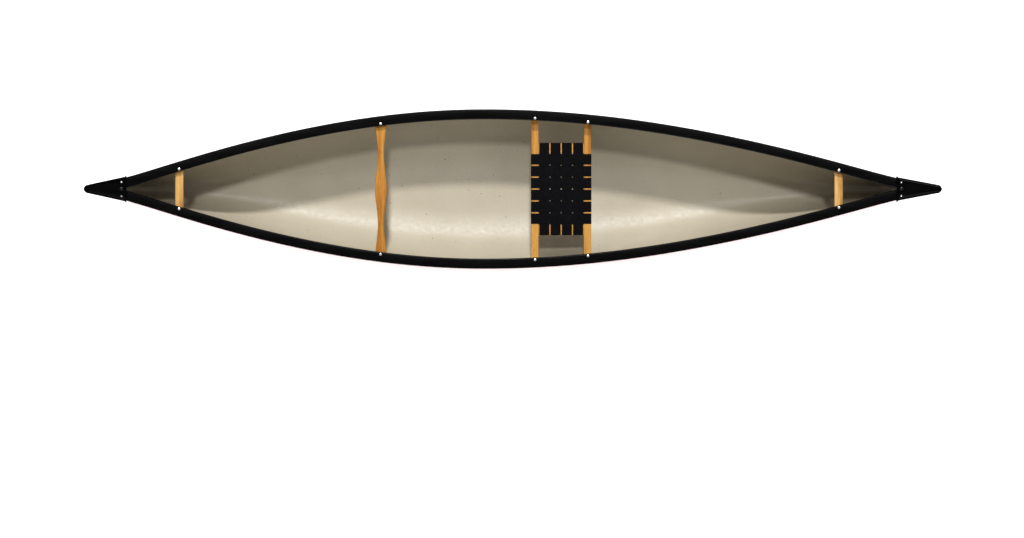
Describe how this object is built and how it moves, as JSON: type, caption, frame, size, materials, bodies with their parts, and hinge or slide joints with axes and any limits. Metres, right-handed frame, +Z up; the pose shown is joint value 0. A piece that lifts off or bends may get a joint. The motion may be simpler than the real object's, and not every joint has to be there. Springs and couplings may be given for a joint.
{
  "type": "canoe",
  "caption": "Open solo canoe with a moulded hull, dark gunwales and deck plates, wooden thwarts and a woven-web seat hung below the gunwales.",
  "frame": {"origin": "on the ground under the middle of the canoe's length and width", "axes": "+X to the stern, +Y to starboard, +Z up"},
  "size_m": [3.962, 0.7408, 0.4907],
  "materials": {
    "hull_red": "satin, slightly mottled",
    "hull_foam": "cellular foam, hidden",
    "hull_lining": "satin with fine speckles",
    "gunwale_vinyl": "satin",
    "gunwale_metal": "mill finish, hidden",
    "rivet_metal": "mill finish, hidden",
    "deck_plastic": "satin, lightly textured",
    "ash_thwarts": "oiled or varnished",
    "ash_seat": "oiled or varnished",
    "seat_web": "woven webbing",
    "spacer_metal": "mill finish",
    "fastener_steel": "stainless, polished heads",
    "fastener_black": "black coated steel"
  },
  "bodies": {
    "root": {"hull_outer_skin": "hull_red", "hull_foam_core": "hull_foam", "hull_inner_skin": "hull_lining", "port_gunwale": "gunwale_vinyl", "starboard_gunwale": "gunwale_vinyl", "port_gunwale_insert": "gunwale_metal", "starboard_gunwale_insert": "gunwale_metal", "gunwale_rivets": "rivet_metal", "bow_deck_plate": "deck_plastic", "stern_deck_plate": "deck_plastic", "deck_side_screws": "fastener_steel", "deck_centre_screws": "fastener_black", "bow_grab_thwart": "ash_thwarts", "stern_grab_thwart": "ash_thwarts", "centre_thwart": "ash_thwarts", "seat_front_rail": "ash_seat", "seat_rear_rail": "ash_seat", "seat_port_stretcher": "ash_seat", "seat_starboard_stretcher": "ash_seat", "seat_dowels": "ash_seat", "seat_webbing_lengthwise": "seat_web", "seat_webbing_crosswise": "seat_web", "webbing_staples": "fastener_steel", "seat_spacers": "spacer_metal", "thwart_bolts": "fastener_steel", "seat_bolts": "fastener_steel", "cup_washers": "fastener_steel", "flat_washers": "fastener_steel", "lock_nuts": "fastener_steel"}
  },
  "joints": []
}
